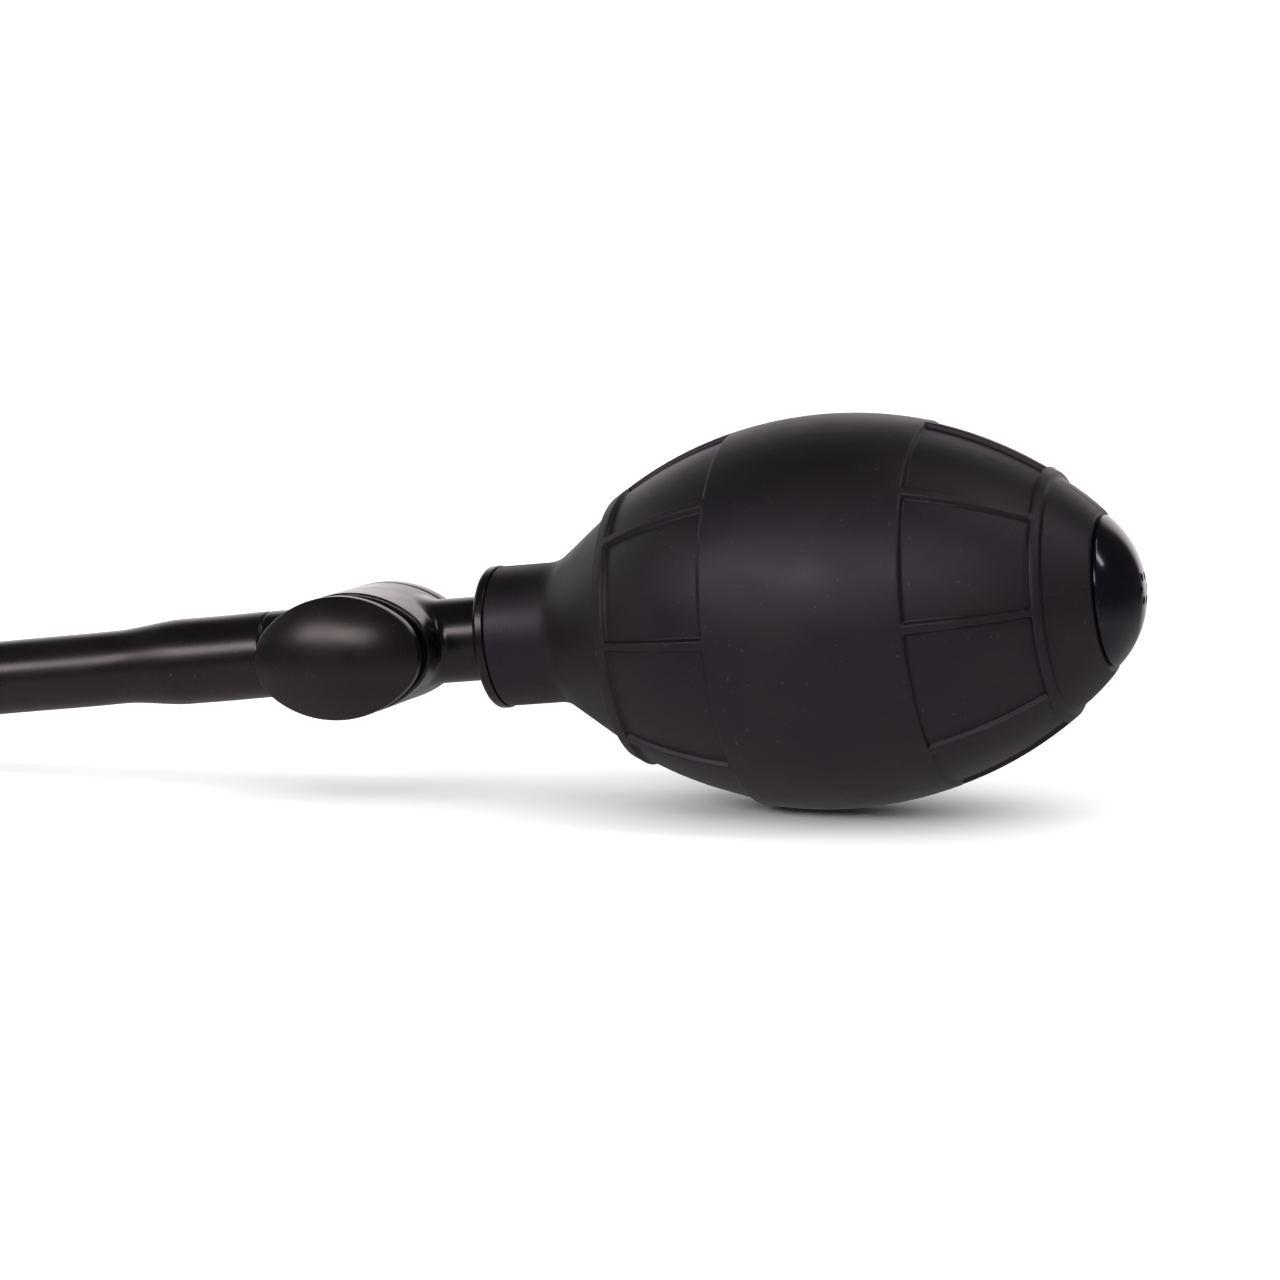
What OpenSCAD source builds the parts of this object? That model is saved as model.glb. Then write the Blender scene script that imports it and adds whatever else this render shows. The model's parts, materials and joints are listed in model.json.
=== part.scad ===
// Squeeze bulb with an air intake in its end cap, a push-button release valve at its neck
// and a short hose that ends in a fine blower nozzle. Millimetres, +Z up.
//
// The bulb, its valves and its fittings are drawn about a straight axis: X runs from the
// end of the bulb's neck (x = 0) to its cap, and Y runs through the release valve, from
// its button (-Y) to its back cover (+Y). lean() then tips that axis, so that the bulb
// rests on its belly with the middle of the rigid object over the origin. The hose, its
// tie and the nozzle lie in the tipped frame, on the surface that the bulb rests on.

/* [Bulb] */
// Largest diameter of the rubber bulb
bulb_d = 52; // [51:0.5:54]
// Radius of the long curve along the bulb's side
side_curve_r = 52; // [51:0.5:56]
// Distance from the end of the neck to the largest diameter
belly_x = 46.5; // [46:0.5:47.5]
// Thickness of the rubber wall
wall = 2.6; // [2.2:0.2:3]
// Outer diameter of the neck
neck_d = 18.8; // [18:0.2:20]
// How far the raised belly band reaches to either side of the largest diameter
belly_band = [11.5, 14.5]; // [11:0.5:15]
// Depth of the recessed grip panels
panel_depth = 0.7; // [0.4:0.1:1]
// Number of grip panels round each half
panel_count = 8; // [6:1:10]
// Width of the ribs between the panels, in degrees
rib_angle = 3; // [2:0.5:5]
// Turn of the first rib from straight down, in degrees
rib_turn = 2; // [0:1:20]

/* [End cap and intake valve] */
// Diameter of the domed cap
cap_d = 19.6; // [19:0.2:20]
// Height of the dome above its rim
cap_dome_h = 4.3; // [4:0.1:5]
// Diameter of each air hole
vent_d = 1; // [0.8:0.1:1.2]
// Number of air holes
vent_count = 6; // [4:1:6]
// Diameter of the circle of air holes
vent_circle_d = 3.6; // [3.4:0.1:4.4]
// Travel of the intake disc and of the outlet disc
disc_travel = 0.9; // [0.6:0.1:0.9]

/* [Release valve] */
// Length of the oval drum and its button, along the bulb's axis
drum_len = 23.4; // [22.6:0.2:24]
// Height of the oval drum and its button
drum_h = 16.6; // [16:0.1:17]
// Distance from the end of the neck to the drum's centre
drum_back = 19.2; // [19:0.2:20.4]
// Travel of the button
button_travel = 2; // [1:0.1:2]
// Diameter of the plunger stem
stem_d = 3; // [2.8:0.1:3.2]
// Turns of the return spring
spring_turns = 5; // [4:1:6]

/* [Hose and nozzle] */
// Outer diameter of the hose
hose_d = 10.2; // [10:0.1:10.4]
// Outer diameter of the hose where it is stretched over the barb
hose_barb_d = 11.8; // [11.4:0.1:12]
// Length of the nozzle's plastic taper
nozzle_len = 26; // [22:1:30]
// Outer diameter of the metal tip
tip_d = 2.5; // [2.2:0.1:3]
// Bore of the metal tip
tip_bore_d = 1.6; // [1.2:0.1:1.7]
// Length of the metal tip that stands out of the nozzle
tip_len = 14; // [10:1:16]

/* [Pose] */
// Angle by which the bulb's axis rises towards the cap
rise = 6.2; // [5:0.1:7]

/* [Hidden] */

$fn = 96;
eps = 0.01;
slip = 0.05;      // radial gap between pieces that are pushed together
seal_gap = 0.03;  // gap that stands for a closed rubber seal

rubber = [0.16, 0.15, 0.17];
soft_rubber = [0.1, 0.1, 0.11];
satin_plastic = [0.2, 0.18, 0.2];
gloss_plastic = [0.12, 0.11, 0.13];
hose_vinyl = [0.09, 0.09, 0.1];
inner_plastic = [0.62, 0.62, 0.6];
filter_foam = [0.45, 0.5, 0.55];
spring_steel = [0.72, 0.73, 0.75];
brass = [0.78, 0.62, 0.3];

// Bulb: the places along its axis
bulb_r = bulb_d / 2;
neck_r = neck_d / 2;
neck_straight = 7.4;
neck_fillet_r = 4;
neck_fillet_angle = 36;
rim_x = 17.9;         // near edge of the raised rim at the neck side
rim_w = 1.7;
rim_foot_r = 16.3;
ring_x = 76.3;        // near edge of the raised ring at the cap side
ring_w = 1;
ring_step = 0.8;
mouth_x = 82.7;       // end of the bulb's mouth
mouth_lip_r = 10.6;
belly_lo = belly_x - belly_band[0];
belly_hi = belly_x + belly_band[1];

// Bores of the neck and the mouth, each with a groove that a bead snaps into
neck_bore_r = 6.4;
neck_bore_end = 12.5;
neck_groove = [6.4, 8.2];
neck_flare = [17, 12.2];     // [x, r] where the neck's bore has opened out
inside_x = [20.5, 74];       // stretch where the inside follows the outside
mouth_flare = [76.3, 12.4];  // [x, r] where the inside starts to close to the mouth
mouth_bore_x = 78;
mouth_bore_r = 7.85;
mouth_groove = [79, 80.6];
bead_h = 0.5;

// End cap and the intake valve in its barrel
cap_r = cap_d / 2;
cap_x = mouth_x + 0.15;
cap_rim = 0.4;
cap_dome_r = (cap_r * cap_r + cap_dome_h * cap_dome_h) / (2 * cap_dome_h);
cap_tip_x = cap_x + cap_rim + cap_dome_h;
cap_wall = 1.4;
cap_hollow_r = [4.4, 2.6];   // hollow behind the dome, at its back and at its front
barrel_x = 75;
barrel_bore_r = 6.4;
insert_r = barrel_bore_r - slip;
filter_x = [82, 83.4];
intake_seat_x = [79.6, 81.9];
disc_t = 1;
catch_gap = 0.17;            // left between a fully open disc and its cage
disc_room = seal_gap + disc_t + disc_travel + catch_gap;
intake_cage_x = [75.3, intake_seat_x[0] - disc_room];
intake_disc_r = 4.6;
port_r = 2;
port_lip = 0.3;              // height of the raised lip round a port
port_lip_r = port_r + 0.9;

// Neck adapter and the outlet valve in its barrel
flange_t = 1.5;
flange_r = 9.75;
flange_round = 1.1;
adapter_end = 13.5;
socket_r = 4.3;
socket_end = 5.5;
passage_r = 2.2;
chamber_r = 5;
chamber_x = 7.5;
outlet_seat_x = [11, 13.3];
outlet_cage_x = [chamber_x, outlet_seat_x[0] - disc_room];
outlet_disc_r = 4.2;
o_ring_r = 0.5;

// Release valve: X places on the bulb's axis, Y places through the drum
drum_x = -drum_back;
drum_a = drum_len / 2;
drum_b = drum_h / 2;
drum_end_r = 6.2;     // small radius of the oval
drum_wall = 1.5;
drum_front_y = -9.5;
cup_floor_y = -4;
body_back_y = 4;
stem_end_y = 5.3;
stem_end_gap = 0.1;   // from the stem's end to the back cover, with the button pressed
cover_wall = 1;
cover_back_y = stem_end_y + button_travel + stem_end_gap + cover_wall;
cover_round = 2.4;
chamber_front_y = -2.2;
valve_chamber_r = 3.4;
seat_wall_y = [2.2, 3];
seat_lip_h = 0.2;
seat_bore_r = 2.3;
seat_lip_r = 2.9;
flow_r = 2;
neck_spigot_r = 5.7;
hose_spigot_r = 5.9;
tail_r = socket_r - slip;
tail_end = 4.3;
hose_x = -33.7;       // shoulder that the hose is pushed up to
barb_r = [3.3, 4.15];
barb_pitch = 4.8;
barb_count = 3;
barb_bore_r = 2;
slot_w = 1.2;
slot_len = 5;
slot_step = 2.6;

// Button, plunger and poppet
stem_r = stem_d / 2;
button_back_y = -12.7;
button_edge_t = 1.4;
button_dome_h = 3.4;
skirt_gap = 0.2;
skirt_wall = 1.2;
skirt_end_y = -7;
boss_r = 2.6;
boss_end_y = -10.2;
washer_y = [-4.6, -4];
washer_r = 3.8;
gland_r = 2.75;
stem_ring_r = 0.55;
poppet_r = 3.5;
poppet_washer_y = [seat_wall_y[1] + seat_lip_h + seal_gap, 4];
poppet_plate_y = [4, 4.8];
clip_y = [4.85, 5.2];
clip_r = 2.1;
clip_groove_r = 1.1;
clip_mouth = 1.4;     // width of the opening in the clip
spring_wire_r = 0.3;
spring_r = 3.15;

// The middle of the rigid object's length, and the lift that stands it on its belly
centre_x = 19.1;
lift = bulb_r * cos(rise) + side_curve_r * (1 - cos(rise)) - belly_x * sin(rise);

// Hose route: points that its centre line passes through, from the valve's shoulder
hose_r = hose_d / 2;
hose_start = [hose_x * cos(rise) - centre_x, 0, hose_x * sin(rise) + lift];
hose_route = [
    hose_start,
    [-59, 0, 16.7], [-66, 0, 15.9], [-73, 0, 15.1], [-80, 0, 14.2], [-95, 0, 12.4],
    [-110, -1.6, 10.4], [-125, -4, 8.4], [-140, -5.4, 6.7], [-155, -5.6, 6],
    [-170, -5.7, 5.8], [-185, -7.4, 5.5], [-200, -11.4, 5.2], [-216, -17.6, 5.2],
    [-232, -23.8, 5.2], [-250, -29.6, 5.2], [-268, -32, 5.2],
    [-284, -27.7, 5.2], [-296, -16, 5.2], [-300, 0, 5.2], [-296, 16, 5.2],
    [-284, 27.7, 5.2], [-268, 32, 5.2], [-250, 29.6, 5.2], [-232, 23.8, 5.2],
    [-216, 17.6, 5.2], [-200, 11.4, 5.2], [-185, 7.4, 5.5], [-170, 5.7, 5.8],
    [-158, 5.9, 5.8]
];
hose_grip = 13;       // length that is stretched over the barb
hose_taper = 10;      // length over which it returns to its own diameter
hose_sides = 12;
tie_x = -166;
tie_w = 9;
tie_t = 0.6;
tie_gap = 0.2;        // between the tie and the hose
tie_half = 5.75;      // from the middle of the tie to each hose run
tie_z = 5.8;
nozzle_turn = 8;      // turn of the nozzle from +X, about Z
collar_t = 3;
collar_r = 5.6;
nozzle_r = [4.6, 2.3];
nozzle_barb_len = 13;
nozzle_bore_r = 1.5;
nozzle_chamfer = 0.5;
grip_rings = 4;
grip_pitch = 2.4;
grip_h = 0.5;
tip_seat = 6;         // length of the tip that sits in the nozzle
tip_neck = 1;         // length of its thinner shank that shows
tip_shank_r = 1;

// ---- helpers ----

// Tips the straight axis and stands the bulb on its belly
module lean() {
    translate([-centre_x, 0, lift]) rotate([0, -rise, 0]) children();
}

// Turns an outline of [x, r] points about the X axis
module turned(outline, sweep = 360) {
    rotate([0, 90, 0])
        rotate_extrude(angle = sweep) polygon([for (p = outline) [p[1], p[0]]]);
}

// A straight round piece about the X axis
module x_rod(span, r) {
    translate([span[0], 0, 0]) rotate([0, 90, 0]) cylinder(r = r, h = span[1] - span[0]);
}

// A straight round piece about the valve's Y axis
module y_rod(span, r) {
    translate([drum_x, span[0], 0]) rotate([-90, 0, 0]) cylinder(r = r, h = span[1] - span[0]);
}

// A torus about the valve's Y axis or the X axis
module o_ring(major, minor) {
    rotate_extrude() translate([major, 0]) circle(r = minor, $fn = 32);
}

// Oval made of four arcs, with half axes a and b
module oval(a, b, end_r) {
    side_r = (pow(a - end_r, 2) + b * b - end_r * end_r) / (2 * (b - end_r));
    tangent_x = (a - end_r) * side_r / (side_r - end_r);
    for (s = [-1, 1]) translate([s * (a - end_r), 0]) circle(r = end_r);
    intersection() {
        translate([0, b - side_r]) circle(r = side_r, $fn = 2 * $fn);
        translate([0, side_r - b]) circle(r = side_r, $fn = 2 * $fn);
        square([2 * tangent_x, 2 * b + 1], center = true);
    }
}

// Oval prism about the valve's Y axis, inset from the drum's outline
module oval_block(span, inset = 0) {
    translate([drum_x, span[0], 0]) rotate([-90, 0, 0]) linear_extrude(span[1] - span[0])
        oval(drum_a - inset, drum_b - inset, drum_end_r - inset);
}

// Oval block about the Y axis whose far edge is rounded off by a radius
module rounded_oval(span, radius, steps = 6) {
    $fn = 32;
    hull() for (i = [0:steps])
        oval_block(
            [span[0], span[1] - radius * (1 - sin(90 * i / steps))],
            radius * (1 - cos(90 * i / steps))
        );
}

// Arc of points [x, r] about a centre, from one angle to another
function arc(centre, r, from, to, steps = 8) = [
    for (i = [0:steps])
        let (a = from + (to - from) * i / steps) [centre[0] + r * cos(a), centre[1] + r * sin(a)]
];

// Unit vector
function unit(v) = v / norm(v);

// Direction of a path at point i
function heading(path, i) =
    unit(path[min(i + 1, len(path) - 1)] - path[max(i - 1, 0)]);

// Closed tube through the points of a path, with a radius for each point
module tube(path, radii, sides, across) {
    n = len(path);
    points = [
        for (i = [0:n - 1])
            let (t = heading(path, i), u = unit(cross(across, t)), v = cross(t, u))
                for (k = [0:sides - 1])
                    let (a = 360 * k / sides) path[i] + radii[i] * (cos(a) * u + sin(a) * v)
    ];
    skin = [
        for (i = [0:n - 2], k = [0:sides - 1])
            let (a = i * sides + k, b = i * sides + (k + 1) % sides)
                [a, a + sides, b + sides, b]
    ];
    ends = [[for (k = [0:sides - 1]) k], [for (k = [sides - 1:-1:0]) (n - 1) * sides + k]];
    polyhedron(points = points, faces = concat(ends, skin), convexity = 10);
}

// ---- bulb ----

// Radius of the bulb's side at x, sunk by a depth
function side_at(x, sink = 0) =
    bulb_r - sink - side_curve_r + sqrt(side_curve_r * side_curve_r - pow(x - belly_x, 2));

// Points along the bulb's side from x = lo to hi
function side_points(lo, hi, sink = 0, steps = 10) = [
    for (i = [0:steps]) let (x = lo + (hi - lo) * i / steps) [x, side_at(x, sink)]
];

module bulb_outside() {
    fillet_centre = [neck_straight, neck_r + neck_fillet_r];
    turned(concat(
        [[0, 0], [0, neck_r - 0.3], [0.3, neck_r]],
        arc(fillet_centre, neck_fillet_r, -90, neck_fillet_angle - 90, 6),
        [[rim_x, rim_foot_r]],
        side_points(rim_x + 0.2, ring_x + ring_w, 0, 30),
        [[ring_x + ring_w + 0.2, side_at(ring_x + ring_w) - ring_step]],
        arc([mouth_x - 0.8, mouth_lip_r - 0.2], 0.8, 45, 0, 3),
        [[mouth_x, 0]]
    ));
}

module bulb_inside() {
    turned(concat(
        [
            [-1, 0], [-1, neck_bore_r], [neck_groove[0], neck_bore_r],
            [neck_groove[0], neck_bore_r + bead_h], [neck_groove[1], neck_bore_r + bead_h],
            [neck_groove[1], neck_bore_r], [neck_bore_end, neck_bore_r], neck_flare
        ],
        side_points(inside_x[0], inside_x[1], wall, 16),
        [
            mouth_flare, [mouth_bore_x, mouth_bore_r], [mouth_groove[0], mouth_bore_r],
            [mouth_groove[0], mouth_bore_r + bead_h], [mouth_groove[1], mouth_bore_r + bead_h],
            [mouth_groove[1], mouth_bore_r], [mouth_x + 1, mouth_bore_r], [mouth_x + 1, 0]
        ]
    ));
}

// What is cut away over one grip panel
module panel_cut(lo, hi) {
    turned(concat(
        side_points(lo, hi, panel_depth, 8),
        [[hi, side_at(hi) + 2], [lo, side_at(lo) + 2]]
    ), 360 / panel_count - rib_angle);
}

module bulb() {
    color(rubber) lean() difference() {
        bulb_outside();
        bulb_inside();
        for (i = [0:panel_count - 1])
            rotate([rib_turn + rib_angle / 2 + 360 * i / panel_count, 0, 0]) {
                panel_cut(rim_x + rim_w, belly_lo);
                panel_cut(belly_hi, ring_x);
            }
    }
}

// ---- end cap and intake valve ----

module end_cap() {
    dome_centre = [cap_tip_x - cap_dome_r, 0];
    dome_edge = asin(cap_r / cap_dome_r);
    bead_x = [mouth_groove[0] + 0.1, mouth_groove[1] - 0.1];
    color(satin_plastic) lean() difference() {
        turned(concat(
            [
                [barrel_x, 0], [barrel_x, mouth_bore_r - slip], [bead_x[0], mouth_bore_r - slip],
                [bead_x[0] + 0.5, mouth_bore_r + bead_h - slip],
                [bead_x[1] - 0.3, mouth_bore_r + bead_h - slip],
                [bead_x[1], mouth_bore_r - slip], [cap_x, mouth_bore_r - slip], [cap_x, cap_r]
            ],
            arc(dome_centre, cap_dome_r, dome_edge, 0, 16)
        ));
        turned([
            [barrel_x - 1, 0], [barrel_x - 1, barrel_bore_r], [filter_x[1] + 0.1, barrel_bore_r],
            [filter_x[1] + cap_wall, cap_hollow_r[0]],
            [cap_tip_x - cap_wall, cap_hollow_r[1]], [cap_tip_x - cap_wall, 0]
        ]);
        for (i = [0:vent_count - 1])
            rotate([360 * (i + 0.5) / vent_count, 0, 0]) translate([0, 0, vent_circle_d / 2])
                x_rod([cap_tip_x - 3, cap_tip_x + 1], vent_d / 2);
    }
}

module intake_filter() {
    color(filter_foam) lean() x_rod(filter_x, insert_r);
}

// Seat ring with a raised lip round its port; the disc rests against its -X face
module intake_seat() {
    color(inner_plastic) lean() difference() {
        union() {
            x_rod([intake_seat_x[0] + port_lip, intake_seat_x[1]], insert_r);
            x_rod(intake_seat_x, port_lip_r);
        }
        x_rod([intake_seat_x[0] - 1, intake_seat_x[1] + 1], port_r);
    }
}

module intake_disc() {
    back = intake_seat_x[0] - seal_gap;
    color(soft_rubber) lean() x_rod([back - disc_t, back], intake_disc_r);
}

// Ring that catches a disc, with notches that let the air past it
module cage(span, r) {
    hole_r = 0.42 * r;
    notch_w = 1.6;
    notch_rim = 0.8;
    difference() {
        x_rod(span, r);
        x_rod([span[0] - 1, span[1] + 1], hole_r);
        for (i = [0:3]) rotate([90 * i, 0, 0])
            translate([(span[0] + span[1]) / 2, -notch_w / 2, hole_r - 0.5])
                cube([span[1] - span[0], notch_w, r - notch_rim - hole_r + 0.5]);
    }
}

module intake_cage() {
    color(inner_plastic) lean() cage(intake_cage_x, insert_r);
}

// ---- neck adapter and outlet valve ----

module neck_adapter() {
    bead_x = [neck_groove[0] + 0.1, neck_groove[1] - 0.1];
    barrel_r = neck_bore_r - slip;
    color(gloss_plastic) lean() difference() {
        turned(concat(
            [[-flange_t, 0]],
            arc([flange_round - flange_t, flange_r - flange_round], flange_round, 180, 90, 6),
            [
                [0, flange_r], [0, barrel_r], [bead_x[0], barrel_r],
                [bead_x[0] + 0.3, barrel_r + bead_h], [bead_x[1] - 0.5, barrel_r + bead_h],
                [bead_x[1], barrel_r], [adapter_end - 0.5, barrel_r],
                [adapter_end, barrel_r - 0.5], [adapter_end, 0]
            ]
        ));
        x_rod([-flange_t - 1, socket_end], socket_r);
        x_rod([0, adapter_end], passage_r);
        x_rod([chamber_x, adapter_end + 1], chamber_r);
    }
}

module neck_o_ring() {
    color(soft_rubber) lean() translate([(tail_end + socket_end) / 2, 0, 0]) rotate([0, 90, 0])
        o_ring(socket_r - slip - o_ring_r, o_ring_r);
}

module outlet_seat() {
    color(inner_plastic) lean() difference() {
        union() {
            x_rod([outlet_seat_x[0] + port_lip, outlet_seat_x[1]], chamber_r - slip);
            x_rod(outlet_seat_x, port_lip_r);
        }
        x_rod([outlet_seat_x[0] - 1, outlet_seat_x[1] + 1], port_r);
    }
}

module outlet_disc() {
    back = outlet_seat_x[0] - seal_gap;
    color(soft_rubber) lean() x_rod([back - disc_t, back], outlet_disc_r);
}

module outlet_cage() {
    color(inner_plastic) lean() cage(outlet_cage_x, chamber_r - slip);
}

// ---- release valve ----

// Barbed stem, from its root along -X
module barbs(root_x) {
    turned(concat(
        [[root_x, 0], [root_x, barb_r[0]]],
        [for (i = [0:barb_count - 1], p = [[-1.2, barb_r[0]], [-1.2, barb_r[1]], [-4.8, barb_r[0]]])
            [root_x - i * barb_pitch + p[0], p[1]]],
        [[root_x - barb_count * barb_pitch - 1, barb_r[0]],
         [root_x - barb_count * barb_pitch - 1, 0]]
    ));
}

// Oval cup with a spigot to either side. The back is open for the cover, and the poppet's
// seat stands up round the valve's bore there
module valve_body() {
    color(gloss_plastic) lean() difference() {
        union() {
            oval_block([drum_front_y, body_back_y]);
            x_rod([drum_x, -flange_t], neck_spigot_r);
            x_rod([-flange_t - eps, tail_end], tail_r);
            x_rod([hose_x, drum_x], hose_spigot_r);
            barbs(hose_x);
        }
        oval_block([drum_front_y - 1, cup_floor_y], drum_wall);
        oval_block([body_back_y, cover_back_y], -slip);
        difference() {
            oval_block([seat_wall_y[1], body_back_y + 1], drum_wall);
            y_rod([seat_wall_y[1], seat_wall_y[1] + seat_lip_h], seat_lip_r);
        }
        y_rod([cup_floor_y - 1, chamber_front_y + 1], stem_r + slip);
        y_rod([cup_floor_y - 1, cup_floor_y + 2 * stem_ring_r + 0.1], gland_r);
        y_rod([chamber_front_y, seat_wall_y[0]], valve_chamber_r);
        y_rod([0, body_back_y], seat_bore_r);
        x_rod([drum_x, tail_end + 1], flow_r);
        x_rod([hose_x - barb_count * barb_pitch - 2, drum_x], barb_bore_r);
    }
}

// Rounded oval cap with vent slots; its lip sits inside the back rim of the drum
module back_cover() {
    hollow_inset = drum_wall + slip + cover_wall;
    color(gloss_plastic) lean() difference() {
        union() {
            rounded_oval([body_back_y + slip, cover_back_y], cover_round);
            oval_block([seat_wall_y[1] + slip, body_back_y + 1], drum_wall + slip);
        }
        oval_block([seat_wall_y[1] - 1, cover_back_y - cover_wall], hollow_inset);
        for (i = [-1:1]) translate([drum_x + i * slot_step, cover_back_y, 0])
            cube([slot_w, 4 * cover_wall, slot_len], center = true);
    }
}

module gland_washer() {
    color(inner_plastic) lean() difference() {
        y_rod(washer_y, washer_r);
        y_rod([washer_y[0] - 1, washer_y[1] + 1], stem_r + slip);
    }
}

module stem_o_ring() {
    color(soft_rubber) lean() translate([drum_x, cup_floor_y + stem_ring_r + slip, 0])
        rotate([90, 0, 0]) o_ring(stem_r + slip + stem_ring_r, stem_ring_r);
}

// Oval button: a domed plate, a skirt that slides in the drum and a boss for the stem
module release_button() {
    skirt_inset = drum_wall + skirt_gap;
    button_front_y = button_back_y - button_edge_t - button_dome_h;
    dome_r = (drum_b * drum_b + button_dome_h * button_dome_h) / (2 * button_dome_h);
    color(satin_plastic) lean() difference() {
        union() {
            intersection() {
                oval_block([button_front_y - 1, button_back_y]);
                translate([drum_x, button_front_y + dome_r, 0])
                    scale([drum_a / drum_b, 1, 1]) sphere(dome_r);
            }
            difference() {
                oval_block([button_back_y - eps, skirt_end_y], skirt_inset);
                oval_block([button_back_y, skirt_end_y + 1], skirt_inset + skirt_wall);
            }
            y_rod([button_back_y - eps, boss_end_y], boss_r);
        }
        y_rod([button_back_y - 0.2, boss_end_y + 1], stem_r + slip / 2);
    }
}

module plunger_stem() {
    color(spring_steel) lean() difference() {
        y_rod([button_back_y, stem_end_y], stem_r);
        difference() {
            y_rod([clip_y[0] - slip, clip_y[1] + eps], stem_r + 1);
            y_rod([clip_y[0] - 1, clip_y[1] + 1], clip_groove_r);
        }
    }
}

module poppet_washer() {
    color(soft_rubber) lean() difference() {
        y_rod(poppet_washer_y, poppet_r - 0.2);
        y_rod([poppet_washer_y[0] - 1, poppet_washer_y[1] + 1], stem_r + slip / 2);
    }
}

module poppet_plate() {
    color(inner_plastic) lean() difference() {
        y_rod([poppet_plate_y[0] + eps, poppet_plate_y[1]], poppet_r);
        y_rod([poppet_plate_y[0] - 1, poppet_plate_y[1] + 1], stem_r + slip / 2);
    }
}

// Open ring that snaps into the stem's groove
module stem_clip() {
    color(spring_steel) lean() difference() {
        y_rod([clip_y[0], clip_y[1] - slip], clip_r);
        y_rod([clip_y[0] - 1, clip_y[1] + 1], clip_groove_r + slip / 2);
        translate([drum_x - clip_mouth / 2, clip_y[0] - 1, 0]) cube([clip_mouth, 3, clip_r + 1]);
    }
}

module return_spring() {
    lo = washer_y[0] - spring_wire_r - slip;
    hi = button_back_y + spring_wire_r + slip;
    steps = spring_turns * 20;
    path = [
        for (i = [0:steps])
            let (a = 360 * spring_turns * i / steps)
                [drum_x + spring_r * cos(a), lo + (hi - lo) * i / steps, spring_r * sin(a)]
    ];
    color(spring_steel) lean() tube(path, [for (p = path) spring_wire_r], 8, [0, 1, 0]);
}

// ---- hose and nozzle ----

// Distance along the route to point i
function route_run(i) = i == 0 ? 0 : route_run(i - 1) + norm(hose_route[i] - hose_route[i - 1]);

// Radius of the hose at a distance from the shoulder: wide over the barb, then tapering
function hose_r_at(run) =
    let (t = min(max((run - hose_grip) / hose_taper, 0), 1))
        hose_barb_d / 2 + (hose_r - hose_barb_d / 2) * t * t * (3 - 2 * t);

module hose() {
    radii = [for (i = [0:len(hose_route) - 1]) hose_r_at(route_run(i))];
    color(hose_vinyl) tube(hose_route, radii, hose_sides, [0, 0, 1]);
}

// Flat outline round both hose runs
module tie_outline(r) {
    for (s = [-1, 1]) translate([0, s * tie_half]) circle(r = r);
    square([2 * r, 2 * tie_half], center = true);
}

module hose_tie() {
    inner = hose_r + tie_gap;
    color(soft_rubber) translate([tie_x, 0, tie_z]) rotate([0, 90, 0])
        linear_extrude(tie_w, center = true) difference() {
            tie_outline(inner + tie_t);
            tie_outline(inner);
        }
}

// Places the nozzle at the end of the route, pointing away from the hose
module at_hose_end() {
    translate(hose_route[len(hose_route) - 1]) rotate([0, 0, nozzle_turn]) children();
}

module nozzle_body() {
    c = nozzle_chamfer;
    end_x = collar_t + nozzle_len;
    color(satin_plastic) at_hose_end() difference() {
        union() {
            turned([
                [-nozzle_barb_len, 0], [-nozzle_barb_len, barb_r[0] - c],
                [-nozzle_barb_len + 6 * c, barb_r[0]], [0, barb_r[0]], [0, collar_r - c],
                [c, collar_r], [collar_t - c, collar_r], [collar_t, collar_r - c],
                [collar_t, nozzle_r[0]], [end_x, nozzle_r[1]], [end_x, 0]
            ]);
            for (i = [1:grip_rings]) grip_ring(i * grip_pitch);
        }
        x_rod([-nozzle_barb_len - 1, end_x - tip_seat], nozzle_bore_r);
        x_rod([end_x - tip_seat, end_x + 1], tip_shank_r + slip / 2);
    }
}

// Ridge round the nozzle's taper, at a distance from its collar
module grip_ring(along) {
    x = collar_t + along;
    r = nozzle_r[0] + (nozzle_r[1] - nozzle_r[0]) * along / nozzle_len;
    turned([[x - grip_h, 0], [x - grip_h, r], [x, r + grip_h], [x + grip_h, r], [x + grip_h, 0]]);
}

// Metal tube whose thinner shank is pressed into the nozzle
module nozzle_tip() {
    end_x = collar_t + nozzle_len;
    color(brass) at_hose_end() difference() {
        union() {
            x_rod([end_x - tip_seat + slip, end_x + tip_len], tip_shank_r);
            x_rod([end_x + tip_neck, end_x + tip_len], tip_d / 2);
        }
        x_rod([end_x - tip_seat - 1, end_x + tip_len + 1], tip_bore_d / 2);
    }
}

bulb();
end_cap();
intake_filter();
intake_seat();
intake_disc();
intake_cage();
neck_adapter();
neck_o_ring();
outlet_seat();
outlet_disc();
outlet_cage();
valve_body();
back_cover();
gland_washer();
stem_o_ring();
release_button();
plunger_stem();
poppet_washer();
poppet_plate();
stem_clip();
return_spring();
hose();
hose_tie();
nozzle_body();
nozzle_tip();
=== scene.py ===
"""Squeeze-bulb dust blower: camera, hose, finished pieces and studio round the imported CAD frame.

Shapes are drawn in millimetres of the bulb's own straight frame, as in the part's source: x runs
from the end of the neck to the cap and y through the release valve, with the button at -y.
local() puts such points into the row frame, in metres. The hose is the exception: its route is
in the row frame from the start.
"""

import json
import math

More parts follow.
